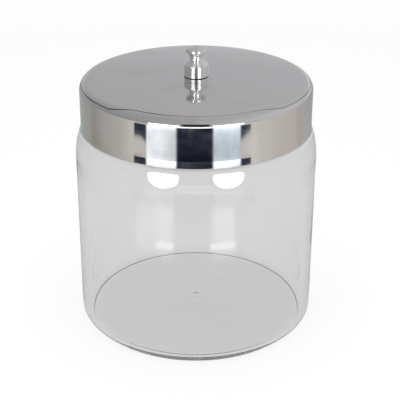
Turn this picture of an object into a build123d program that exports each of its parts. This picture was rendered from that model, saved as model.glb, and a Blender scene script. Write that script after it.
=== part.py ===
from build123d import *
import math
import os

# Glass dressing jar with a drawn steel cover and a turned knob.
#
# The jar is one piece of clear glass: a wide straight side on a rounded heel, a pushed-up base, and a soft shoulder
# that closes to a ledge and a plain neck. The cover is one drawn sheet: a crowned top, a rolled edge and a deep
# skirt whose mouth is folded inwards. It slips over the neck, rests on the rim and lifts straight off. The knob is
# held by one pan-head screw and a split washer from inside the cover.
#
# Millimetres, +Z up. The origin is on the axis, at the surface that the jar stands on.

# Cover
lid_diameter = 150.0  # outside of the skirt, above the fold
sheet = 0.6  # thickness of the drawn sheet
skirt_depth = 31.6  # from the level where the edge starts to roll down to the mouth
crown_rise = 1.6  # how far the crown's pole stands above that level
edge_radius = 5.5  # outside, between the top and the skirt
knob_seat_diameter = 19.0  # flat in the middle of the crown
hem_height = 5.0  # how far the mouth's edge is folded up flat inside the skirt
hem_flare = 0.2  # how far the fold stands out past the skirt

# Jar
jar_height = 164.9  # to the top of the rim
side_overhang = 4.0  # how far the glass side stands out past the skirt
wall = 3.0
base_thickness = 4.0
heel_radius = 8.0  # outside, between the side and the standing ring
inner_heel_radius = 5.0
standing_ring_width = 5.0
push_up = 1.6  # how far the underside rises from the standing ring to the axis
floor_rise = 0.9  # how far the inside floor rises from its edge to the axis
shoulder_radius = 52.0  # the long outside curve from the side towards the ledge
corner_radius = 3.0  # outside, where the shoulder turns over into the ledge
ledge_width = 0.2  # flat between that corner and the cove of the neck
ledge_cove = 1.0  # hollow curve between the ledge and the neck
inner_shoulder_radius = 30.0
throat_radius = 3.0  # inside, between the shoulder and the neck
throat_rise = 1.6  # from the ledge up to where the straight bore of the neck starts
rim_round = 1.3  # fire-polished edges of the rim
mould_mark_diameter = 13.0  # shallow dimple in the middle of the floor
mould_mark_depth = 0.6

# Fits between the cover and the jar
neck_clearance = 1.4  # from the neck out to the fold
seat_gap = 0.2  # from the round of the rim to the inside of the rolled edge
skirt_gap = 0.8  # under the mouth, over the ledge

# Knob
knob_height = 19.0
foot_diameter = 15.8
foot_height = 7.7
foot_chamfer = 0.35
foot_edge_round = 0.6
waist_diameter = 8.6
waist_start = 11.0  # height at which the cone over the foot meets the waist
waist_end = 13.8  # height at which the waist starts to flare
waist_round = 1.8
button_diameter = 13.8
button_thickness = 2.8  # from the widest ring of the flare up to the top
button_under_round = 0.5
button_round = 1.0
dome_rise = 0.7

# Screw and washer under the knob
screw_diameter = 4.0
screw_length = 8.0  # under the head
screw_head_diameter = 8.0
screw_head_height = 2.6
screw_head_round = 1.6
screw_tip_chamfer = 0.4
recess_length = 4.4
recess_width = 1.1
recess_depth = 1.6
recess_taper = 8.0  # degrees
washer_diameter = 7.6
washer_thickness = 0.9
washer_split = 0.8
split_slant = 0.6  # how far the split leans over the thickness of the washer
tapped_depth = 9.5
drill_point = 118.0  # full angle at the end of the tapped hole, in degrees
thread_clearance = 0.05
hole_clearance = 0.2  # round the screw, in the cover and in the washer

# Radii of the cover
lid_radius = lid_diameter / 2
knob_seat_radius = knob_seat_diameter / 2
hem_inner_radius = lid_radius - 2 * sheet
hole_radius = screw_diameter / 2 + hole_clearance

# The crown is a cap of a large ball, which touches the circle of the rolled edge and is flat under the knob
edge_centre_radius = lid_radius - edge_radius
ball_radius = edge_radius + (edge_centre_radius**2 + crown_rise**2) / (2 * crown_rise)
crown_turn = math.degrees(math.asin(edge_centre_radius / (ball_radius - edge_radius)))
seat_drop = ball_radius - math.sqrt(ball_radius**2 - knob_seat_radius**2)

# Radii of the jar
body_radius = lid_radius + side_overhang
bore_radius = body_radius - wall
neck_radius = hem_inner_radius - neck_clearance
mouth_radius = neck_radius - wall
standing_radius = body_radius - heel_radius
floor_radius = bore_radius - inner_heel_radius
rim_fillet = min(rim_round, 0.45 * wall)
rim_land_radius = neck_radius - rim_fillet

# Heights. The round outer edge of the rim nests in the hollow of the rolled edge, and that carries the cover.
nested_radius = edge_radius - sheet - rim_fillet - seat_gap
past_centre = max(0.0, rim_land_radius - edge_centre_radius)
edge_centre_z = jar_height - rim_fillet - math.sqrt(nested_radius**2 - past_centre**2)
pole_z = edge_centre_z + edge_radius + crown_rise
knob_seat_z = pole_z - seat_drop
mouth_z = pole_z - crown_rise - skirt_depth
hem_top_z = mouth_z + hem_height
ledge_z = mouth_z - skirt_gap
floor_z = base_thickness + floor_rise
washer_z = knob_seat_z - sheet - washer_thickness

# The outside shoulder is an arc that leaves the side upright and touches the circle of the corner
corner_centre_radius = neck_radius + ledge_cove + ledge_width
corner_centre_z = ledge_z - corner_radius
shoulder_across = corner_centre_radius - (body_radius - shoulder_radius)
shoulder_turn = math.degrees(math.acos(shoulder_across / (shoulder_radius - corner_radius)))
side_top_z = corner_centre_z - math.sqrt((shoulder_radius - corner_radius) ** 2 - shoulder_across**2)

# The inside shoulder is an S of two arcs, from the bore of the side to the bore of the neck
inner_radii = inner_shoulder_radius + throat_radius
throat_turn = math.degrees(math.acos(1 - (bore_radius - mouth_radius) / inner_radii))
bore_top_z = ledge_z + throat_rise - inner_radii * math.sin(math.radians(throat_turn))


def upright(z):
    """The plane in which a turned outline is drawn: x is the radius and y is the height above z."""
    return Plane(origin=(0, 0, z), x_dir=(1, 0, 0), z_dir=(0, -1, 0))


def falling_arc(start, width, fall):
    """An arc that leaves start level and ends that much further out and lower, or higher if fall is negative."""
    turn = 2 * math.atan2(fall, width)
    return JernArc(start, (1, 0), width / math.sin(abs(turn)), -math.degrees(turn))


def sheet_face(depth):
    """One face of the cover's sheet, at a depth under its outside, from the screw hole down to the top of the fold."""
    seat_edge = math.sqrt(knob_seat_radius**2 - 2 * depth * seat_drop)
    seat_turn = math.degrees(math.asin(seat_edge / (ball_radius - depth)))
    seat = Line((hole_radius, knob_seat_z - depth), (seat_edge, knob_seat_z - depth))
    ball_centre = (0, pole_z - ball_radius)
    CenterArc(ball_centre, ball_radius - depth, 90 - crown_turn, crown_turn - seat_turn)
    edge_centre = (edge_centre_radius, edge_centre_z)
    CenterArc(edge_centre, edge_radius - depth, 0, 90 - crown_turn)
    skirt = Line((lid_radius - depth, edge_centre_z), (lid_radius - depth, hem_top_z))
    return seat @ 0, skirt @ 1


with BuildPart() as glass_jar:
    with BuildSketch(upright(0)):
        with BuildLine():
            under = falling_arc((0, push_up), standing_radius - standing_ring_width, push_up)
            ring = Line(under @ 1, (standing_radius, 0))
            heel = JernArc(ring @ 1, (1, 0), heel_radius, 90)
            side = Line(heel @ 1, (body_radius, side_top_z))
            shoulder = JernArc(side @ 1, (0, 1), shoulder_radius, shoulder_turn)
            corner = JernArc(shoulder @ 1, shoulder % 1, corner_radius, 90 - shoulder_turn)
            ledge = Line(corner @ 1, (neck_radius + ledge_cove, ledge_z))
            cove = JernArc(ledge @ 1, (-1, 0), ledge_cove, -90)
            neck = Line(cove @ 1, (neck_radius, jar_height))
            Polyline(neck @ 1, (0, jar_height), under @ 0)
        make_face()
    revolve(axis=Axis.Z)
    # The cavity
    with BuildSketch(upright(0)):
        with BuildLine():
            floor = falling_arc((0, floor_z), floor_radius, floor_rise)
            inner_heel = JernArc(floor @ 1, (1, 0), inner_heel_radius, 90)
            bore = Line(inner_heel @ 1, (bore_radius, bore_top_z))
            inner_shoulder = JernArc(bore @ 1, (0, 1), inner_shoulder_radius, throat_turn)
            throat = JernArc(inner_shoulder @ 1, inner_shoulder % 1, throat_radius, -throat_turn)
            mouth = Line(throat @ 1, (mouth_radius, jar_height))
            Polyline(mouth @ 1, (0, jar_height), floor @ 0)
        make_face()
    revolve(axis=Axis.Z, mode=Mode.SUBTRACT)
    fillet(glass_jar.edges().group_by(Axis.Z)[-1], rim_fillet)
    # The mark of the mould in the middle of the floor
    with BuildSketch(upright(floor_z)):
        with BuildLine():
            dimple = falling_arc((0, -mould_mark_depth), mould_mark_diameter / 2, -mould_mark_depth)
            Polyline(dimple @ 1, (mould_mark_diameter / 2, 1), (0, 1), dimple @ 0)
        make_face()
    revolve(axis=Axis.Z, mode=Mode.SUBTRACT)

with BuildPart() as lid_cover:
    with BuildSketch(upright(0)):
        with BuildLine():
            hole_top, outer_end = sheet_face(0)
            hole_bottom, inner_end = sheet_face(sheet)
            Line(hole_top, hole_bottom)
            flare = Line(outer_end, (lid_radius + hem_flare, mouth_z + sheet))
            fold = JernArc(flare @ 1, (0, -1), sheet, -180)
            Polyline(fold @ 1, (hem_inner_radius, hem_top_z), inner_end)
        make_face()
    revolve(axis=Axis.Z)

with BuildPart() as knob:
    foot_radius = foot_diameter / 2
    waist_radius = waist_diameter / 2
    button_radius = button_diameter / 2
    button_z = knob_height - button_thickness
    thread_radius = screw_diameter / 2 + thread_clearance
    point_height = thread_radius / math.tan(math.radians(drill_point / 2))
    with BuildSketch(upright(knob_seat_z)):
        with BuildLine():
            outline = FilletPolyline(
                (foot_radius, 0),
                (foot_radius, foot_height),
                (waist_radius, waist_start),
                (waist_radius, waist_end),
                (button_radius, button_z),
                (button_radius, knob_height - dome_rise),
                radius=[foot_edge_round, waist_round, waist_round, button_under_round],
            )
            dome = falling_arc((0, knob_height), button_radius, dome_rise)
            Polyline(outline @ 0, (0, 0), dome @ 0)
        make_face()
        fillet(vertices().sort_by_distance((button_radius, knob_height))[0], button_round)
        chamfer(vertices().sort_by_distance((foot_radius, 0))[0], foot_chamfer)
    revolve(axis=Axis.Z)
    # The tapped hole, with the cone that its drill leaves
    with BuildSketch(upright(knob_seat_z)):
        with BuildLine():
            tip = (0, tapped_depth + point_height)
            Polyline((0, 0), (thread_radius, 0), (thread_radius, tapped_depth), tip, close=True)
        make_face()
    revolve(axis=Axis.Z, mode=Mode.SUBTRACT)

with BuildPart() as lock_washer:
    with BuildSketch(Plane.XY.offset(washer_z)):
        Circle(washer_diameter / 2)
        Circle(hole_radius, mode=Mode.SUBTRACT)
    extrude(amount=washer_thickness)
    # The split leans over, so that its ends bite
    with BuildSketch(Plane(origin=(0, 0, washer_z), x_dir=(0, 1, 0), z_dir=(1, 0, 0))):
        with BuildLine():
            Polyline(
                (-washer_split / 2, 0),
                (washer_split / 2, 0),
                (washer_split / 2 + split_slant, washer_thickness),
                (-washer_split / 2 + split_slant, washer_thickness),
                close=True,
            )
        make_face()
    extrude(amount=washer_diameter, mode=Mode.SUBTRACT)

with BuildPart() as knob_screw:
    with BuildSketch(Plane.XY.offset(washer_z)):
        Circle(screw_diameter / 2)
    extrude(amount=screw_length)
    chamfer(knob_screw.edges().group_by(Axis.Z)[-1], screw_tip_chamfer)
    with BuildSketch(Plane.XY.offset(washer_z)):
        Circle(screw_head_diameter / 2)
    extrude(amount=-screw_head_height)
    fillet(knob_screw.edges().group_by(Axis.Z)[0], screw_head_round)
    # The cross recess in the head, which faces down into the jar
    with BuildSketch(Plane(origin=(0, 0, washer_z - screw_head_height), z_dir=(0, 0, -1))):
        Rectangle(recess_length, recess_width)
        Rectangle(recess_width, recess_length)
    extrude(amount=-recess_depth, taper=recess_taper, mode=Mode.SUBTRACT)

pieces = {
    "glass_jar": glass_jar,
    "lid_cover": lid_cover,
    "knob": knob,
    "lock_washer": lock_washer,
    "knob_screw": knob_screw,
}
os.makedirs("parts", exist_ok=True)
for name, piece in pieces.items():
    piece.part.label = name
    export_step(piece.part, f"parts/{name}.step")
    size = piece.part.bounding_box().size
    print(f"{name}: {piece.part.volume:.0f} mm3, {size.X:.1f} x {size.Y:.1f} x {size.Z:.1f} mm")
print(f"rim {jar_height:.2f}, ledge {ledge_z:.2f}, mouth {mouth_z:.2f}, knob's seat {knob_seat_z:.2f}")
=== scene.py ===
# %% [markdown]
# # A glass dressing jar
# A dressing jar stands in a treatment room and keeps swabs and dressings clean. It has three visible
# pieces: a wide jar blown from clear glass, a deep cover drawn from one sheet of steel, and a turned
# aluminium knob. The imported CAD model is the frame: every piece below is made in its coordinates, in
# metres, and rides on one of its bodies.

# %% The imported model
import math

import bpy
from mathutils import Matrix, Vector


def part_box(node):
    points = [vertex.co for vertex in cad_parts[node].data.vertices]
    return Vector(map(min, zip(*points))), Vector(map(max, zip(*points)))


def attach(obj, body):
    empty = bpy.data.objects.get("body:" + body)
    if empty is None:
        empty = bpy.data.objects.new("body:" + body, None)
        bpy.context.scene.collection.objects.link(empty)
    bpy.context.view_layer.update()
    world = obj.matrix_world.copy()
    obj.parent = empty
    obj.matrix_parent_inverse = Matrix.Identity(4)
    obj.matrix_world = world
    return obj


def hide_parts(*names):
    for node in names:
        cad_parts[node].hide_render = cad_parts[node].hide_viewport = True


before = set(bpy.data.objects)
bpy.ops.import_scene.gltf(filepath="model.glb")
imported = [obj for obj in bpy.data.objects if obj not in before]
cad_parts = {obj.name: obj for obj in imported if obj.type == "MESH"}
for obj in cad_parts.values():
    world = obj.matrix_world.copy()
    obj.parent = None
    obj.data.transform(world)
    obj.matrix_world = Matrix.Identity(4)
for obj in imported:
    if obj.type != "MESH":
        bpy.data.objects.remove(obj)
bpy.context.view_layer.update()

scene = bpy.context.scene
MM = 0.001

# %% [markdown]
# ## Wires
# A material is a sum of small maps, and sums are easiest to read as sums. So an output socket is wrapped in
# a small class that knows + - * / and comparisons, and every such sign adds one Math node. All other nodes
# come from one method of a bench, which sets a node up, feeds its sockets and hands back its output.


# %% A wire, and the sums on it
class Wire:
    """An output socket. A sum such as 1 - wire adds a Math node behind it."""

    def __init__(self, socket):
        self.socket = socket

    def named(self, name):
        """Another output of the same node."""
        return Wire(self.socket.node.outputs[name])

    __add__ = lambda self, other: reckon("ADD", self, other)
    __radd__ = lambda self, other: reckon("ADD", other, self)
    __sub__ = lambda self, other: reckon("SUBTRACT", self, other)
    __rsub__ = lambda self, other: reckon("SUBTRACT", other, self)
    __mul__ = lambda self, other: reckon("MULTIPLY", self, other)
    __rmul__ = lambda self, other: reckon("MULTIPLY", other, self)
    __truediv__ = lambda self, other: reckon("DIVIDE", self, other)
    __rtruediv__ = lambda self, other: reckon("DIVIDE", other, self)
    __gt__ = lambda self, other: reckon("GREATER_THAN", self, other)
    __lt__ = lambda self, other: reckon("LESS_THAN", self, other)


def plug(socket, value):
    """Feeds an input: a wire is linked to it, and anything else is its own value."""
    if isinstance(value, Wire):
        socket.id_data.links.new(value.socket, socket)
    else:
        socket.default_value = value


def reckon(operation, *values):
    """One Math node, in the tree of the first wire among its values."""
    tree = next(value for value in values if isinstance(value, Wire)).socket.id_data
    node = tree.nodes.new("ShaderNodeMath")
    node.operation = operation
    for socket, value in zip(node.inputs, values):
        plug(socket, value)
    return Wire(node.outputs[0])


print("wires: each + - * / < or > adds one Math node")


# %% A bench, on which a tree's nodes are made
class Bench:
    """A node tree, cleared, on which nodes are put one by one."""

    def __init__(self, tree):
        self.tree = tree
        tree.nodes.clear()

    def node(self, kind, settings=None, inputs=None, output=0):
        """Makes a node, sets it up, feeds its sockets and returns one output as a wire."""
        made = self.tree.nodes.new(kind)
        for name, value in (settings or {}).items():
            if name == "stops":
                ramp = made.color_ramp
                while len(ramp.elements) < len(value):
                    ramp.elements.new(1.0)
                for element, (place, shade) in zip(ramp.elements, value):
                    element.position, element.color = place, (*shade, 1.0)
            else:
                setattr(made, name, value)
        for name, value in (inputs or {}).items():
            plug(made.inputs[name], value)
        return Wire(made.outputs[output]) if made.outputs else made

    def fade(self, value, start, end):
        """0 before start, 1 after end, and smooth between them."""
        sockets = {"Value": value, "From Min": start, "From Max": end}
        return self.node("ShaderNodeMapRange", {"interpolation_type": "SMOOTHSTEP"}, sockets)

    def blend(self, amount, first, second):
        """A colour between two colours."""
        sockets = {0: amount, 6: first, 7: second}
        return self.node("ShaderNodeMix", {"data_type": "RGBA"}, sockets, output=2)

    def scaled(self, vector, factor):
        """A colour or a vector, times a number."""
        return self.node("ShaderNodeVectorMath", {"operation": "SCALE"}, {0: vector, "Scale": factor})

    def noise(self, dimensions, inputs):
        """Soft noise between 0 and 1, in 1 to 4 dimensions."""
        return self.node("ShaderNodeTexNoise", {"noise_dimensions": dimensions}, inputs)


def new_finish(name):
    """A new material and the bench for its nodes."""
    finish = bpy.data.materials.new(name)
    finish.use_nodes = True
    return finish, Bench(finish.node_tree)


print("bench: node, fade, blend, scaled, noise")


# %% [markdown]
# ## The camera
# The photograph looks down on the jar by about 25 degrees from three quarters of a metre away. The numbers
# come from fitting the outlines of the cover, the mouth, the sides and the base to a pinhole camera, so
# that the jar fills this frame as it fills the photograph.

# %% The camera
camera_place = Vector((0.0, -0.6605, 0.3905))
tilt, pan, lean = 0.440, 0.004, 0.003  # radians: down, to the right, and a slight roll
lens, sensor_width = 97.33, 36.0  # millimetres

ahead = Vector((math.sin(pan) * math.cos(tilt), math.cos(pan) * math.cos(tilt), -math.sin(tilt)))
across = Vector((math.cos(pan), -math.sin(pan), 0.0))
upwards = across.cross(ahead)
across, upwards = (
    across * math.cos(lean) + upwards * math.sin(lean),
    upwards * math.cos(lean) - across * math.sin(lean),
)
camera = bpy.data.objects.new("camera", bpy.data.cameras.new("camera"))
scene.collection.objects.link(camera)
camera.data.lens, camera.data.sensor_width = lens, sensor_width
facing = Matrix((across, upwards, -ahead)).transposed().to_4x4()
camera.matrix_world = Matrix.Translation(camera_place) @ facing
scene.camera = camera
scene.view_settings.view_transform = "Standard"
away_mm, down_degrees = camera_place.length / MM, math.degrees(tilt)
print(f"camera {away_mm:.0f} mm from the foot of the jar, looking down {down_degrees:.1f} degrees")

# %% [markdown]
# ## The white background
# A catalogue photograph of glass is taken against a light grey backdrop, which is cut out to white
# afterwards, while the glass keeps the grey that shows through it. Telling rays apart does the same here:
# rays straight from the camera see white, rays that came through glass see light grey, and mirrored rays
# see a studio of their own. Nothing is lit more for it. What the jar and its cover mirror does come from
# this studio, so they look different without it.
#
# A ray that glass bends counts as glossy too. So a mirrored ray is told by its Glossy Depth and by not
# having come through glass last. One that bounced inside the glass and then left it sees a tenth of the
# studio.

# %% How bright the surroundings are to each kind of ray
SEEN_THROUGH = (0.668, 0.638, 0.648, 1.0)
DIFFUSE_LIGHT = (0.5, 0.5, 0.5, 1.0)
WHITE = (1.0, 1.0, 1.0, 1.0)
INSIDE_GLASS = 0.1


def surroundings(bench, mirrored_colour, share=1.0):
    """White seen directly, grey through glass, a studio colour in mirrors; and how mirrored a ray is."""
    ray = bench.node("ShaderNodeLightPath")
    through = ray.named("Is Transmission Ray")
    bounced = ray.named("Glossy Depth") > 0.5
    mirrored = ray.named("Is Glossy Ray") * bounced * (1 - through) + through * bounced * INSIDE_GLASS
    plain = bench.blend(ray, bench.blend(through, DIFFUSE_LIGHT, SEEN_THROUGH), WHITE)
    return bench.blend(mirrored, bench.scaled(plain, share), mirrored_colour), mirrored


print("seen through glass", SEEN_THROUGH[:3], "matt light", DIFFUSE_LIGHT[:3])

# %% [markdown]
# ## The world
# Mirrors that face up or level show the room above the floor. It is a plain grey, lighter and a little
# bluish near the horizon, and lighter to the right. Low down it is a fifth darker, except at the back. In
# front the dark gap of the floor goes on upwards, nearly black to 20 degrees above the horizon and gone by
# 37.

# %% The world
world = bpy.data.worlds.new("studio")
world.use_nodes = True
scene.world = world
bench = Bench(world.node_tree)
direction = bench.node("ShaderNodeSeparateXYZ", None, {0: bench.node("ShaderNodeTexCoord")})
sky_stops = [
    (0.00, (0.60, 0.61, 0.64)),
    (0.20, (0.60, 0.61, 0.64)),
    (0.28, (0.524, 0.511, 0.534)),
    (0.60, (0.518, 0.503, 0.522)),
    (1.00, (0.485, 0.472, 0.475)),
]
studio_wall = bench.node("ShaderNodeValToRGB", {"stops": sky_stops}, {0: direction.named("Z")})
sideways, depth, height = direction, direction.named("Y"), direction.named("Z")
azimuth = reckon("ARCTAN2", sideways, 0 - depth) * math.degrees(1)
dark_front = bench.fade(azimuth, -16, -12) * (1 - bench.fade(azimuth, 11, 15))
dark_front = dark_front * (1 - bench.fade(height, 0.35, 0.6))
low_front = (1 - bench.fade(height, 0.20, 0.28)) * (1 - bench.fade(depth, 0.5, 0.9))
shade = (1 + sideways * 0.3) * (1 - dark_front * 0.96) * (1 - low_front * 0.22)
sky_colour, _ = surroundings(bench, bench.scaled(studio_wall, shade))
light = bench.node("ShaderNodeBackground", None, {"Color": sky_colour, "Strength": 1.0})
bench.node("ShaderNodeOutputWorld", None, {"Surface": light})
print("world:", len(sky_stops), "shades from the horizon up")

# %% [markdown]
# ## The floor, and what the skirt mirrors from it
# The floor is one plain sheet. Most of its white is its own. The rest is a matt surface under the lamps,
# which is what keeps the soft shadow round the foot of the jar. Further out its own share grows to the
# whole, so that no line shows at the horizon. Seen from below it is clear. Where glass stands on a floor
# the contact is darker than so soft a shadow, so a thin ring of painted contact shadow is drawn there,
# with a slight painted shade under the jar inside it.
#
# Polished steel shows what stands round it more than what lights it. The camera looks down, so the skirt
# mirrors the floor in front, about 0.4 to 0.5 m from the jar, and the photograph's studio can be read from
# it: two bright strips, a dark gap between them, dark corners beside them, and warm grey beyond. They are
# drawn on the floor by direction and distance from the jar, in the colour that only mirrored rays see.
#
# The glass mirrors the floor closer by. It mirrors little, so that floor is white, with a strong glare of
# the soft boxes, which makes the long lights on the front of the jar. All of this is fitted to the view
# from the front. Seen from elsewhere, or with the cover lifted, a part of the skirt mirrors the bright
# places as plain white.

# %% Directions and distances on the floor
FLOOR_GLOW = 0.810
FLOOR_DROP = 0.0002

floor_finish, bench = new_finish("studio_floor")
spot = bench.node("ShaderNodeSeparateXYZ", None, {0: bench.node("ShaderNodeTexCoord", output="Object")})
across_floor, along_floor = spot.named("X"), spot.named("Y")
azimuth = reckon("ARCTAN2", across_floor, 0 - along_floor) * math.degrees(1)
distance = reckon("SQRT", across_floor * across_floor + along_floor * along_floor) * 1000


def between(value, low, high, soft):
    """1 between low and high, 0 outside, with an edge that is soft on both sides."""
    return bench.fade(value, low - soft, low + soft) * (1 - bench.fade(value, high - soft, high + soft))


print("floor: its own share of the white", FLOOR_GLOW)

# %% The wall round the studio, by direction from the jar
wall_stops = [
    (-180, (0.50, 0.50, 0.50)),
    (-150, (0.42, 0.43, 0.44)),
    (-130, (0.39, 0.39, 0.38)),
    (-119, (0.41, 0.40, 0.385)),
    (-110, (0.355, 0.335, 0.32)),
    (-103, (0.40, 0.375, 0.37)),
    (-96, (0.465, 0.43, 0.40)),
    (-85, (0.50, 0.465, 0.445)),
    (-72, (0.54, 0.52, 0.49)),
    (-61, (0.68, 0.64, 0.61)),
    (-49, (0.72, 0.67, 0.63)),
    (-30, (0.56, 0.52, 0.50)),
    (30, (0.58, 0.54, 0.52)),
    (45, (0.76, 0.71, 0.68)),
    (53, (0.80, 0.75, 0.72)),
    (60, (0.71, 0.66, 0.635)),
    (67, (0.71, 0.665, 0.63)),
    (74, (0.64, 0.615, 0.59)),
    (88, (0.64, 0.58, 0.55)),
    (103, (0.615, 0.555, 0.53)),
    (111, (0.50, 0.47, 0.46)),
    (127, (0.49, 0.48, 0.47)),
    (146, (0.41, 0.40, 0.395)),
    (180, (0.50, 0.50, 0.50)),
]
stops = [(0.5 + degrees / 360, shade) for degrees, shade in wall_stops]
mirrored = bench.node("ShaderNodeValToRGB", {"stops": stops}, {0: azimuth / 360 + 0.5})
print("wall:", len(wall_stops), "shades round the jar")

# %% Where the strips, the gap and the dark corners are
bright_ends = bench.fade(distance, 385, 390) * (1 - between(distance, 395, 483, 7))
widening = bench.fade(distance, 290, 385)
strip_left = between(azimuth, -34.0 - widening * 10.6, -17.2, 1.2)
strip_right = between(azimuth, 14.8, 31.0 + widening * 8.5, 1.4)
gap = between(azimuth, -17.2, 14.8, 1.4)
beyond = 1 - bench.fade(distance, 495, 620) * 0.8
front = bench.fade(distance, 262, 300) * beyond

corner_left = between(azimuth, -57.0, -44.6, 0.3)
edge_left = 449 - bench.fade(azimuth, -51.5, -44.6) * 10
corner_right = between(azimuth, 39.0, 49.6, 0.8)
edge_right = 446 + bench.fade(azimuth, 38, 50) * 19
near_corners = bench.fade(distance, 305, 315) * (1 - bench.fade(distance, 394, 397))
far_left = bench.fade(distance, edge_left - 2, edge_left + 2)
far_right = bench.fade(distance, edge_right - 3, edge_right + 3)
print("masks for the strips:", len(floor_finish.node_tree.nodes), "nodes so far")

# %% The strips and the gap, painted light and dark for the mirrors, with streaks along them
corner_dark = (0.022, 0.034, 0.06, 1.0)
gap_dark, gap_streak_colour = (0.008, 0.010, 0.020, 1.0), (0.16, 0.19, 0.28, 1.0)
white_line = (1.9, 1.9, 1.9, 1.0)

# The dark corners are painted shade that only mirrors see
for corner, far in ((corner_left, far_left), (corner_right, far_right)):
    mirrored = bench.blend(corner * reckon("MAXIMUM", far, near_corners) * front, mirrored, corner_dark)
place = bench.node("ShaderNodeTexCoord", output="Object")
cloud = bench.node("ShaderNodeTexNoise", None, {"Vector": place, "Scale": 22.0, "Detail": 3.0})
along_streaks = bench.node("ShaderNodeCombineXYZ", None, {"X": azimuth * 0.05, "Y": distance * 0.15})
strokes = bench.noise("2D", {"Vector": along_streaks, "Scale": 1.0, "Detail": 4.0})
texture = (cloud - 0.5) * 0.5 + (strokes - 0.5) * 0.9
shade_left = 1.16 - bench.fade(azimuth, -34, -19) * 0.34 + texture
shade_right = 0.70 + bench.fade(distance, 430, 474) * 0.22 + texture
strips = (
    (strip_left, shade_left, (0.97, 1.0, 1.06)),
    (strip_right, shade_right, (0.93, 1.03, 1.14)),
)
# The strips are painted light for the mirrors, brightest at their far ends
for mask, shade, tint in strips:
    shade = shade * (1 - bright_ends) + 2.0 * bright_ends
    mirrored = bench.blend(mask * front, mirrored, bench.scaled(tint, shade))
# Lighter painted streaks in the dark gap
gap_streaks = bench.fade(strokes, 0.48, 0.8) * bench.fade(distance, 405, 440)
mirrored = bench.blend(gap * front, mirrored, bench.blend(gap_streaks, gap_dark, gap_streak_colour))
# A broken painted white line beyond the gap, which the roll mirrors as a thin highlight
broken = bench.fade(bench.noise("1D", {"W": azimuth * 0.5}), 0.35, 0.5)
mirrored = bench.blend(gap * bench.fade(distance, 530, 590) * broken, mirrored, white_line)
print("strips and gap:", len(floor_finish.node_tree.nodes), "nodes so far")

# %% What the glass mirrors closer by
glare_white, patch_white = (3.0, 3.05, 3.1, 1.0), (5.6, 5.8, 6.0, 1.0)
near_level = 1.0 - bench.fade(reckon("ABSOLUTE", azimuth), 20, 90) * 0.38
near_white = bench.scaled((1.0, 0.99, 0.98), near_level)
mirrored = bench.blend(1 - bench.fade(distance, 255, 298), mirrored, near_white)
glare_left = between(azimuth, -49, -19, 4) * (0.5 + bench.fade(azimuth, -38, -26) * 0.5)
glare_right = between(azimuth, 13, 31, 4)
glare = (glare_left + glare_right) * between(distance, 222, 308, 14)
mirrored = bench.blend(glare, mirrored, glare_white)
# Two narrow bands of still brighter painted glare, 234 to 245 mm out, broken up by streaks
patches = between(azimuth, -31.5, -18, 1.5) + between(azimuth, 11, 31, 1.5)
streaks = bench.noise("1D", {"W": azimuth * 0.35, "Detail": 2.0})
patches = patches * between(distance, 234, 245, 2.5) * (0.4 + streaks)
mirrored = bench.blend(patches, mirrored, patch_white)
print("near floor:", len(floor_finish.node_tree.nodes), "nodes so far")

# %% The floor
contact_shadow_dark, matt_grey, black = (0.02, 0.025, 0.03, 1.0), (0.23, 0.23, 0.23, 1.0), (0.0, 0.0, 0.0, 1.0)
share = FLOOR_GLOW + bench.fade(distance, 600, 1600) * (1 - FLOOR_GLOW)
colour, in_mirror = surroundings(bench, mirrored, share)
# Painted contact shadow: a thin dark ring where the jar stands, blotched under the front, and a slight
# painted shade under the jar
blotches = bench.noise("1D", {"W": azimuth * 0.16 + 3, "Detail": 1.0})
near_shadow_ring = between(distance, 71.0, 73.7, 0.35) * (1 - bench.fade(along_floor, -0.062, -0.045))
near_shadow_ring = near_shadow_ring * (0.72 + bench.fade(blotches, 0.4, 0.55) * 0.26)
far_shadow_ring = between(distance, 71.1, 72.2, 0.3) * bench.fade(along_floor, -0.028, 0.004) * 0.9
painted_contact_shadow = near_shadow_ring + far_shadow_ring + (1 - bench.fade(distance, 66, 71)) * 0.045
colour = bench.blend(painted_contact_shadow, colour, contact_shadow_dark)
glow = bench.node("ShaderNodeEmission", None, {"Color": colour, "Strength": 1.0})
# Under the painted contact shadow the matt part is black too
matt_colour = bench.blend(reckon("MAXIMUM", in_mirror, painted_contact_shadow), matt_grey, black)
matt = bench.node("ShaderNodeBsdfDiffuse", None, {"Color": matt_colour})
sheet = bench.node("ShaderNodeAddShader", None, {0: glow, 1: matt})
clear = bench.node("ShaderNodeBsdfTransparent")
underside = bench.node("ShaderNodeNewGeometry", output="Backfacing")
floor_skin = bench.node("ShaderNodeMixShader", None, {0: underside, 1: sheet, 2: clear})
bench.node("ShaderNodeOutputMaterial", None, {"Surface": floor_skin})
print("floor finish:", len(floor_finish.node_tree.nodes), "nodes")


# %% The floor's sheet
def stage_sheet(name, corners, finish):
    """A flat piece of the studio, from its corners in order."""
    mesh = bpy.data.meshes.new(name)
    mesh.from_pydata([tuple(c) for c in corners], [], [range(len(corners))])
    mesh.materials.append(finish)
    thing = bpy.data.objects.new(name, mesh)
    scene.collection.objects.link(thing)


floor_reach = 4.0
signs = [(-1, -1), (1, -1), (1, 1), (-1, 1)]
floor_corners = [(floor_reach * x, floor_reach * y, -FLOOR_DROP) for x, y in signs]
stage_sheet("floor", floor_corners, floor_finish)
print("floor:", floor_reach * 2, "m wide")

# %% [markdown]
# ## Lamps and soft boxes
# The knob, the rolled edge and the shoulder of the glass mirror two soft boxes in front, left and right.
# Each is an oval card that only mirrored rays can see. So no view shows the card itself, but metal and
# glass mirror it in every view. Glass mirrors only a few per cent of what it faces, so the card is strong
# in it. Metal mirrors most of it, so there the card's upper part is a soft grey. The two are told apart by
# Is Singular Ray, which is 1 for a perfectly sharp reflection, as the glass has, and 0 for the slightly
# rough metals. The lamps, which give the soft daylight and the shadow, are left out of the mirrors.


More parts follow.
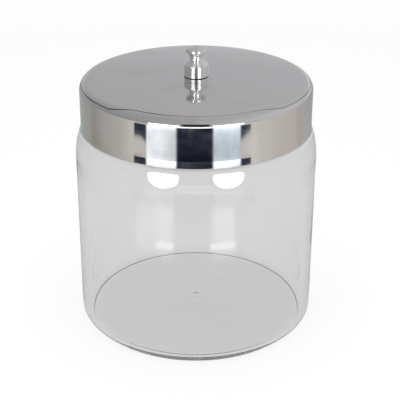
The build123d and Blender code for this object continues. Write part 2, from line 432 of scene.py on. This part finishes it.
# %% Soft boxes that only mirrors see
def card_finish(name, in_glass_level, in_metal_low, in_metal_high):
    """White light for mirrored rays, with one level in glass and two in metal, low and high on the card."""
    finish, bench = new_finish(name)
    ray = bench.node("ShaderNodeLightPath")
    mirrored = (ray.named("Glossy Depth") > 0.5) * (ray.named("Transmission Depth") < 0.5)
    in_glass = bench.node("ShaderNodeEmission", None, {"Color": WHITE, "Strength": in_glass_level})
    place = bench.node("ShaderNodeTexCoord", output="Object")
    upper = bench.fade(bench.node("ShaderNodeSeparateXYZ", None, {0: place}, output=2), 0.19, 0.24)
    low_colour, high_colour = (in_metal_low,) * 3 + (1.0,), (in_metal_high,) * 3 + (1.0,)
    metal_colour = bench.blend(upper, low_colour, high_colour)
    in_metal = bench.node("ShaderNodeEmission", None, {"Color": metal_colour, "Strength": 1.0})
    sharp = ray.named("Is Singular Ray")
    glow = bench.node("ShaderNodeMixShader", None, {0: sharp, 1: in_metal, 2: in_glass})
    clear = bench.node("ShaderNodeBsdfTransparent")
    skin = bench.node("ShaderNodeMixShader", None, {0: mirrored, 1: clear, 2: glow})
    bench.node("ShaderNodeOutputMaterial", None, {"Surface": skin})
    return finish


def around(azimuth, radius, height):
    """A place round the jar: azimuth 0 is towards the camera and 90 to its right."""
    turn = math.radians(azimuth)
    return Vector((radius * math.sin(turn), -radius * math.cos(turn), height))


def soft_box(name, azimuth, elevation, half_width, half_height, finish):
    """An oval lamp's face, given in degrees as seen from near the top of the jar."""
    away, corners, seen_from = 0.7, 24, 0.15
    level = math.radians(elevation)
    middle = around(azimuth, away * math.cos(level), away * math.sin(level) + seen_from)
    side = around(azimuth + 90, 1.0, 0.0)
    top = around(azimuth, -math.sin(level), math.cos(level))
    wide = side * away * math.tan(math.radians(half_width))
    tall = top * away * math.tan(math.radians(half_height))
    turns = [math.tau * (i + 0.5) / corners for i in range(corners)]
    stage_sheet(name, [middle + wide * math.cos(a) + tall * math.sin(a) for a in turns], finish)


bright = card_finish("soft_box_face", in_glass_level=11.0, in_metal_low=10.0, in_metal_high=0.9)
soft_box("soft_box_left", -28.5, 3.2, 14.2, 13.8, bright)
soft_box("soft_box_right", 28.3, 3.2, 14.0, 13.8, bright)


# %% Lamps for the matt light and the shadow
jar_middle = Vector((0, 0, 0.09))


def lamp(name, place, size, watts):
    """A square lamp that points at the middle of the jar and stays out of the mirrors."""
    light = bpy.data.lights.new(name, "AREA")
    light.size, light.energy = size, watts
    thing = bpy.data.objects.new(name, light)
    scene.collection.objects.link(thing)
    thing.location = place
    thing.rotation_euler = (place - jar_middle).to_track_quat("Z", "Y").to_euler()
    thing.visible_glossy = thing.visible_camera = thing.visible_transmission = False


lamp("lamp_overhead", Vector((0.0, 0.0, 1.1)), 0.9, 4.4)
lamp("lamp_left", around(-35, 0.95, 0.45), 0.5, 1.6)
lamp("lamp_right", around(35, 0.95, 0.45), 0.5, 1.4)

# %% [markdown]
# ## The lathe
# The jar, its cover and its knob are all round: the jar was blown in a turning mould, the cover was pressed
# and finished on a spindle, and the knob was turned from bar. One outline swept round the axis therefore
# makes each of them. (How this jar was made can't be seen: these are the usual ways.) A Screw modifier
# could do that, but a small Geometry Nodes tree does it with named inputs, closes the seam and the poles,
# and adds the slight unevenness of blown glass, which bends the light as it passes.


# %% The lathe's tree
def build_lathe():
    """Sweeps an outline of (radius, 0, height) points round the axis."""
    tree = bpy.data.node_groups.new("lathe", "GeometryNodeTree")
    sockets = [
        ("Outline", "NodeSocketGeometry"),
        ("Steps round", "NodeSocketInt"),
        ("Unevenness", "NodeSocketFloat"),
        ("Width of a swell", "NodeSocketFloat"),
        ("Seed", "NodeSocketFloat"),
        ("Finish", "NodeSocketMaterial"),
    ]
    for name, kind in sockets:
        tree.interface.new_socket(name, in_out="INPUT", socket_type=kind)
    tree.interface.new_socket("Piece", in_out="OUTPUT", socket_type="NodeSocketGeometry")
    bench = Bench(tree)
    given = bench.node("NodeGroupInput")
    outline, steps = given.named("Outline"), given.named("Steps round")
    rings = bench.node("GeometryNodeAttributeDomainSize", None, {"Geometry": outline})
    net = bench.node("GeometryNodeMeshGrid", None, {"Vertices X": rings, "Vertices Y": steps + 1})
    # Each point of the net takes the place of its ring in the outline, turned by its step round the axis
    index = bench.node("GeometryNodeInputIndex")
    ring = reckon("FLOOR", index / (steps + 1))
    angle = (index - ring * (steps + 1)) / steps * math.tau
    place = bench.node("GeometryNodeInputPosition")
    sampling = {"data_type": "FLOAT_VECTOR", "domain": "POINT"}
    sampled = {"Geometry": outline, "Value": place, "Index": ring}
    spin = {"Vector": bench.node("GeometryNodeSampleIndex", sampling, sampled), "Angle": angle}
    turned = bench.node("ShaderNodeVectorRotate", {"rotation_type": "Z_AXIS"}, spin)
    swept = bench.node("GeometryNodeSetPosition", None, {"Geometry": net, "Position": turned})
    outwards = bench.node("GeometryNodeFlipFaces", None, {"Mesh": swept})
    closed = bench.node("GeometryNodeMergeByDistance", None, {"Geometry": outwards, "Distance": 1e-6})
    # The surface sinks here and there, and never stands out past the outline
    often = 1 / given.named("Width of a swell")
    swell = bench.noise("4D", {"Vector": place, "W": given.named("Seed"), "Scale": often, "Detail": 1.0})
    sink = (swell - 1) * given.named("Unevenness")
    shift = bench.scaled(bench.node("GeometryNodeInputNormal"), sink)
    uneven = bench.node("GeometryNodeSetPosition", None, {"Geometry": closed, "Offset": shift})
    smooth = bench.node("GeometryNodeSetShadeSmooth", None, {"Geometry": uneven})
    real = bench.node("GeometryNodeRealizeInstances", None, {"Geometry": smooth})
    dressed = {"Geometry": real, "Material": given.named("Finish")}
    bench.node("NodeGroupOutput", None, {"Piece": bench.node("GeometryNodeSetMaterial", None, dressed)})
    return tree


lathe = build_lathe()
print("lathe", len(lathe.nodes), "nodes")


# %% Outlines, drawn with straights and bends
class Outline:
    """A turned outline in millimetres. Walking along it, the air is on the right hand."""

    step_turn = 4.0  # degrees between points of a bend
    step_length = 4.0  # between points of a straight or a wide bend
    edge = 0.12  # how close to its ends a straight has a point more, so that its shading stays flat

    def __init__(self, radius, height, heading=0.0):
        self.points = [(radius, height)]
        self.heading = heading

    def to(self, radius, height):
        """A straight to a place."""
        r, z = self.points[-1]
        length = math.hypot(radius - r, height - z)
        self.heading = math.degrees(math.atan2(height - z, radius - r))
        stops = [length]
        if length > 4 * self.edge:
            inner = length - 2 * self.edge
            count = max(1, math.ceil(inner / self.step_length))
            stops = [self.edge + inner * i / count for i in range(count + 1)] + [length]
        for stop in stops:
            self.points.append((r + (radius - r) * stop / length, z + (height - z) * stop / length))
        return self

    def bend(self, radius, turn):
        """An arc that leaves along the heading and turns left, or right if turn is negative."""
        r, z = self.points[-1]
        side = math.copysign(90, turn)
        centre_angle = math.radians(self.heading + side)
        cr, cz = r + radius * math.cos(centre_angle), z + radius * math.sin(centre_angle)
        length = radius * math.radians(abs(turn))
        count = max(3, math.ceil(abs(turn) / self.step_turn), math.ceil(length / self.step_length))
        for i in range(1, count + 1):
            angle = centre_angle + math.pi + math.radians(turn) * i / count
            self.points.append((cr + radius * math.cos(angle), cz + radius * math.sin(angle)))
        self.heading += turn
        return self

    def corner(self, radius, height, rounding, after):
        """A straight towards a corner, rounded on the way to the place after it."""
        r, z = self.points[-1]
        heading = math.degrees(math.atan2(height - z, radius - r))
        leaving = math.degrees(math.atan2(after[1] - height, after[0] - radius))
        turn = (leaving - heading + 180) % 360 - 180
        cut = rounding * math.tan(math.radians(abs(turn)) / 2)
        way = math.radians(heading)
        return self.to(radius - cut * math.cos(way), height - cut * math.sin(way)).bend(rounding, turn)


print("outlines: a point every", Outline.step_turn, "degrees or", Outline.step_length, "mm")


# %% Turning a piece
def turn_piece(name, outline, finish, widest, steps=256, unevenness=0.0, seed=0.0):
    """Turns an outline on the lathe into a plain mesh. widest is the CAD piece's own half width."""
    reach = max(r for r, z in outline)
    fit = widest / (reach * MM)
    mesh = bpy.data.meshes.new(name)
    points = [(r * MM * fit, 0.0, z * MM) for r, z in outline]
    mesh.from_pydata(points, [(i, i + 1) for i in range(len(points) - 1)], [])
    piece = bpy.data.objects.new(name, mesh)
    scene.collection.objects.link(piece)
    modifier = piece.modifiers.new("lathe", "NODES")
    modifier.node_group = lathe
    values = {
        "Steps round": steps,
        "Unevenness": unevenness * MM,
        "Width of a swell": 30 * MM,
        "Seed": seed,
        "Finish": finish,
    }
    for item in lathe.interface.items_tree:
        if item.in_out == "INPUT" and item.name in values:
            modifier[item.identifier] = values[item.name]
    depsgraph = bpy.context.evaluated_depsgraph_get()
    plain = bpy.data.meshes.new_from_object(piece.evaluated_get(depsgraph), depsgraph=depsgraph)
    piece.modifiers.remove(modifier)
    piece.data = plain
    plain.name = name
    plain.calc_loop_triangles()
    points = [v.co for v in plain.vertices]
    triples = [t.vertices for t in plain.loop_triangles]
    volume = sum(points[a].dot(points[b].cross(points[c])) for a, b, c in triples) / 6
    print(f"{name}: fit {fit:.5f}, {len(triples)} triangles, volume {volume * 1e9:.0f} mm3")
    return piece


def half_width(node):
    """Half of a CAD piece's smaller width, in metres."""
    low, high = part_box(node)
    return min(high.x - low.x, high.y - low.y) / 2


print("half widths", {node: round(half_width(node) / MM, 3) for node in ("glass_jar", "lid_cover", "knob")})

# %% [markdown]
# ## Clear glass
# The glass is clear with a faint sea-green tint that only shows where light travels far through it, as in
# the heel. That is what a Volume Absorption node does. The surface is perfectly smooth, and a thin haze
# takes one or two per cent of the light from it in patches. A shadow ray can't be bent, so for those the
# surface turns into a clear filter, and the lamps light what is inside and behind the jar.

# %% Clear glass
glass_finish, bench = new_finish("clear_glass")
place = bench.node("ShaderNodeTexCoord", output="Object")
haze = bench.node("ShaderNodeTexNoise", None, {"Vector": place, "Scale": 35.0, "Detail": 4.0})
hazy = (0.985, 0.99, 0.988, 1.0)
film = bench.blend(bench.fade(haze, 0.45, 0.75), WHITE, hazy)
clear_glass = {
    "Base Color": film,
    "Transmission Weight": 1.0,
    "IOR": 1.5,
    "Roughness": 0.0,
}
body = bench.node("ShaderNodeBsdfPrincipled", None, clear_glass)
filter_colour = (0.89, 0.90, 0.90, 1.0)
lets_light_by = bench.node("ShaderNodeBsdfTransparent", None, {"Color": filter_colour})
shadow = bench.node("ShaderNodeLightPath", output="Is Shadow Ray")
surface = bench.node("ShaderNodeMixShader", None, {0: shadow, 1: body, 2: lets_light_by})
sea_green = (0.10, 0.42, 0.40, 1.0)
tint = bench.node("ShaderNodeVolumeAbsorption", None, {"Color": sea_green, "Density": 10.0})
bench.node("ShaderNodeOutputMaterial", None, {"Surface": surface, "Volume": tint})
print("clear glass:", len(glass_finish.node_tree.nodes), "nodes")

# %% [markdown]
# ## The jar
# The outline starts under the jar: the underside is pushed up, so the jar stands on a ring. It goes round
# the heel, up the side, over the soft shoulder to the ledge and up the neck, then over the rim and down the
# inside. The floor keeps the shallow mark of the mould, a low ring round a hollow, and faint rings. Near
# its edge this floor is a millimetre thinner than the CAD model's, because the thicker edge showed as a
# dark band that the photograph lacks.

# %% The outside of the glass
jar_height, body_radius, neck_radius, mouth_radius = 164.9, 79.0, 72.4, 69.4
ledge, ledge_width, ledge_cove = 133.7, 1, 1
heel, rim = 8, 1.3
shoulder, shoulder_corner, corner_radius = 52, 3, 73.6
push_up, ring_inside = 1.6, 66.0


def glass_outside():
    """From the middle of the pushed-up base round the heel, up the outside and over the rim."""
    push_turn = math.degrees(2 * math.atan2(push_up, ring_inside))
    line = Outline(0, push_up).bend(ring_inside / math.sin(math.radians(push_turn)), -push_turn)
    line.to(body_radius - heel, 0).bend(heel, 90)
    # The shoulder's long curve and its tight corner meet the ledge
    turn = math.acos((corner_radius - (body_radius - shoulder)) / (shoulder - shoulder_corner))
    shoulder_foot = ledge - shoulder_corner - (shoulder - shoulder_corner) * math.sin(turn)
    line.to(body_radius, shoulder_foot).bend(shoulder, math.degrees(turn))
    line.bend(shoulder_corner, 90 - math.degrees(turn))
    line.to(neck_radius + ledge_width, ledge).bend(ledge_cove, -90)
    line.to(neck_radius, jar_height - rim).bend(rim, 90)
    return line.to(mouth_radius + rim, jar_height).bend(rim, 90)


print("outside:", len(glass_outside().points), "points")

# %% The inside of the glass and its floor
bore_radius, throat_rise, throat, inner_shoulder, inner_heel = 76, 1.6, 3, 30, 5
floor_top, floor_rise, floor_reach_mm, floor_foot = 4.9, 1.9, 71.0, 8
ring_depth, fine_ring_depth = 0.10, 0.02
mark, mark_depth, ridge_radius, ridge_half, ridge_height, hollow_radius = 9.0, 0.6, 6.6, 2.4, 0.36, 5.2


def swell(distance, reach):
    """1 at no distance and 0 from reach on, along a cosine."""
    return math.cos(min(distance / reach, 1.0) * math.pi) * 0.5 + 0.5


def jar_outline():
    """Under the jar, up the outside, over the rim and down the inside to the middle of the floor."""
    line = glass_outside()
    # The throat and the inner shoulder are one S
    turn = math.degrees(math.acos(1 - (bore_radius - mouth_radius) / (throat + inner_shoulder)))
    line.to(mouth_radius, ledge + throat_rise).bend(throat, turn).bend(inner_shoulder, -turn)
    line.to(bore_radius, floor_foot).bend(inner_heel, -90)
    # The floor rises to the middle in faint rings, and ends in the mould's mark
    last = line.points[-1][0]
    for i in range(1, 46):
        r = last + (mark - last) * i / 45
        ripple = ring_depth * math.sin(r * 0.36 + 1) + fine_ring_depth * math.sin(r * 1.07)
        ends = min(1.0, (last - r) / 6) * min(1.0, (r - mark) / 4)
        line.points.append((r, floor_top - floor_rise * (r / floor_reach_mm) ** 2 + ripple * ends))
    for i in range(1, 25):
        r = mark * (1 - i / 24)
        ridge = ridge_height * swell(abs(r - ridge_radius), ridge_half)
        line.points.append((r, floor_top + ridge - mark_depth * swell(r, hollow_radius)))
    return line.points


jar_half = half_width("glass_jar")
jar = turn_piece("jar_glass_blown", jar_outline(), glass_finish, jar_half, unevenness=0.05, seed=3.0)
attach(jar, "jar")
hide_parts("glass_jar")

# %% [markdown]
# ## Bright steel
# The cover was drawn from bright sheet and polished on a spindle. So the skirt carries very fine lines that
# run round it, which blur a reflection a little up and down and not sideways, while the crown has an even
# bloom. Hands leave smudges, which are duller and a little warmer. The grain is noise that is stretched
# round the cover: a low scale across, a high one upwards, so it has no seam. The thin dark line round the
# edge of the crown is a painted dark reflection, drawn in the finish's colour.


# %% Bright steel
def metal_finish(
    name, colour, dull, grain, wear, grain_round=35.0, grain_up=3600.0, turned=0.0, mark=None
):
    """A polished metal with grain round the axis and smudges. mark draws a darker line on it."""
    finish, bench = new_finish(name)
    place = bench.node("ShaderNodeTexCoord", output="Object")
    stretch = {"Vector": place, "Scale": (grain_round, grain_round, grain_up)}
    stretched = bench.node("ShaderNodeMapping", None, stretch)
    lines = bench.node("ShaderNodeTexNoise", None, {"Vector": stretched, "Scale": 1.0, "Detail": 3.0})
    cloudy = {"Vector": place, "Scale": 28.0, "Detail": 5.0, "Distortion": 0.6}
    patches = bench.node("ShaderNodeTexNoise", None, cloudy)
    smudge = bench.fade(patches, 0.52, 0.75)
    fine = bench.node("ShaderNodeTexNoise", None, {"Vector": place, "Scale": 900.0, "Detail": 2.0})
    darker = tuple(c * (1 - wear) * warm for c, warm in zip(colour, (1.0, 0.97, 0.94)))
    tone = bench.blend(smudge * 0.6 + fine * 0.2, (*colour, 1.0), (*darker, 1.0))
    # mark paints a dark line into the colour: a painted dark reflection on the cover, a dark band at the
    # knob's foot
    if mark:
        line_dark = (0.05, 0.065, 0.08, 1.0)
        tone = bench.blend(mark(bench, place), tone, line_dark)
    roughness = dull + smudge * wear * 0.4 + (lines - 0.5) * dull * 0.5
    relief = bench.node("ShaderNodeBump", None, {"Strength": 1.0, "Distance": grain, "Height": lines})
    skin = {
        "Base Color": tone,
        "Metallic": 1.0,
        "Roughness": roughness,
        "Normal": relief,
        "Anisotropic": turned,
        "Anisotropic Rotation": 0.25,
    }
    body = bench.node("ShaderNodeBsdfPrincipled", None, skin)
    bench.node("ShaderNodeOutputMaterial", None, {"Surface": body})
    print(f"{name}: {len(finish.node_tree.nodes)} nodes")
    return finish


def crown_dark_reflection(bench, place):
    """A painted dark reflection, a thin line round the crown. It starts at the roll in front and sinks into
    it at the sides.
    """
    spot = bench.node("ShaderNodeSeparateXYZ", None, {0: place})
    x, y, z = spot, spot.named("Y"), spot.named("Z")
    outwards = (reckon("SQRT", x * x + y * y) - z) * 1000
    turn = reckon("ARCTAN2", x, 0 - y) * math.degrees(1)
    sunk = bench.fade(reckon("ABSOLUTE", turn), 30, 47)
    line = sunk * (6.1 - (x > 0) * 1.35) - 96.4
    near = 1 - bench.fade(reckon("ABSOLUTE", outwards - line), 0.15, 1.0)
    # noise makes the painted reflection line patchy
    wear = bench.node("ShaderNodeTexNoise", None, {"Vector": place, "Scale": 60.0, "Detail": 3.0})
    left = 1 - bench.fade(turn, -22, 5)
    right = bench.fade(turn, 25, 45)
    strength = 0.30 + left * 0.5 + right * 0.2
    return near * strength * (0.5 + wear)


steel = metal_finish("bright_steel", (0.72, 0.72, 0.71), 0.06, 0.0000004, 0.16, mark=crown_dark_reflection)

# %% [markdown]
# ## The cover
# The cover is one sheet, drawn into a deep cap: a crown that rises a little to the flat seat of the knob, a
# rolled edge, a straight skirt, and a mouth folded flat inwards so that no sharp edge is left. A sheet with
# an inside and an outside is one closed outline, so the lathe makes it in one go, with the hole for the
# screw in its middle.

# %% The cover
lid_radius, thin, edge_radius = 75.0, 0.6, 5.5
edge_height = 160.6
mouth, hem_top = 134.5, 139.5
crown_rise = 1.6
ball = edge_radius + ((lid_radius - edge_radius) ** 2 + crown_rise**2) / (2 * crown_rise)
crown_turn = math.degrees(math.asin((lid_radius - edge_radius) / (ball - edge_radius)))
knob_seat, seat_height = 9.5, 167.67
screw_hole, hem_flare = 2.2, 0.2


def cover_outline():
    """From the screw hole under the crown, down the inside, round the fold, up the outside and over."""
    seat_turn = math.degrees(math.asin(knob_seat / ball))
    face = Outline(screw_hole, seat_height).to(knob_seat, seat_height)
    face.heading = -seat_turn
    face.bend(ball, seat_turn - crown_turn).bend(edge_radius, crown_turn - 90)
    face.to(lid_radius, hem_top).to(lid_radius + hem_flare, mouth + thin).bend(thin, -180)
    face.to(lid_radius - 2 * thin, hem_top).to(lid_radius - thin, hem_top)
    face.to(lid_radius - thin, edge_height)
    face.heading = 90.0
    face.bend(edge_radius - thin, 90 - crown_turn).bend(ball - thin, crown_turn - seat_turn)
    face.to(screw_hole, seat_height - thin).to(screw_hole, seat_height)
    return face.points[::-1]


cover = turn_piece("cover_drawn", cover_outline(), steel, half_width("lid_cover"))
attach(cover, "lid")
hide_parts("lid_cover")

# %% [markdown]
# ## The knob
# The knob is a short bar of aluminium turned to a stout foot, a waist and a flat button, with a small
# chamfer under the foot. The joint with the cover shows as a dark line, which is drawn in the finish.
# Turning leaves rings that are too fine to see one by one, but they blur a reflection up and down and keep
# it sharp sideways, which an anisotropic reflection does.

# %% The knob
def foot_line(bench, place):
    """A dark band round the knob's foot, at its joint with the cover."""
    height = bench.node("ShaderNodeSeparateXYZ", None, {0: place}, output=2) * 1000
    return (1 - bench.fade(height, seat_height + 0.30, seat_height + 0.55)) * 0.95


aluminium = metal_finish(
    "turned_aluminium", (0.86, 0.87, 0.88), 0.30, 0.0000012, 0.10, 60.0, 2600.0, turned=1.0, mark=foot_line
)


# %% The knob's shape
hole_radius, hole_depth, hole_tip = 2.05, 9.5, 1.2
foot_radius, foot_height, foot_chamfer = 7.9, 7.7, 0.35
waist_radius, waist_low, waist_high = 4.3, 11.0, 13.8
button_radius, button_low, button_high = 6.9, 16.2, 18.3
knob_height, dome_rise, button_edge = 19.0, 0.7, 1.0


def knob_outline():
    """From the tip of the tapped hole down to the foot, up the side and over the dome."""
    base = seat_height
    line = Outline(0, base + hole_depth + hole_tip).to(hole_radius, base + hole_depth)
    line.to(hole_radius, base).to(foot_radius - foot_chamfer, base).to(foot_radius, base + foot_chamfer)
    line.corner(foot_radius, base + foot_height, 0.6, (waist_radius, base + waist_low))
    line.corner(waist_radius, base + waist_low, 1.8, (waist_radius, base + waist_high))
    line.corner(waist_radius, base + waist_high, 1.8, (button_radius, base + button_low))
    line.corner(button_radius, base + button_low, 0.5, (button_radius, base + button_high))
    dome_turn = math.degrees(2 * math.atan2(dome_rise, button_radius))
    line.to(button_radius, base + button_high - button_edge).bend(button_edge, 90 - dome_turn * 0.86)
    r, z = line.points[-1]
    for i in range(1, 13):
        s = r * (1 - i / 12)
        line.points.append((s, base + knob_height - (base + knob_height - z) * (s / r) ** 2))
    return line.points


knob = turn_piece("knob_turned", knob_outline(), aluminium, half_width("knob"), steps=160)
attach(knob, "lid")
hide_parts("knob")

# %% [markdown]
# ## The screw and its washer
# They hold the knob from inside the cover, and only show from below when the cover is lifted. The
# photograph doesn't show them: such a knob needs a fastener, and it has none outside. The CAD pieces have
# the shape that they need, so they stay, and only get a plain plated steel.

# %% The screw and its washer
plated = metal_finish(
    "plated_steel", (0.66, 0.66, 0.65), 0.26, 0.000002, 0.2, grain_round=500.0, grain_up=900.0
)
for name in ("knob_screw", "lock_washer"):
    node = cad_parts[name]
    node.data.materials.clear()
    node.data.materials.append(plated)
    print(name, "keeps its CAD mesh, in", plated.name)
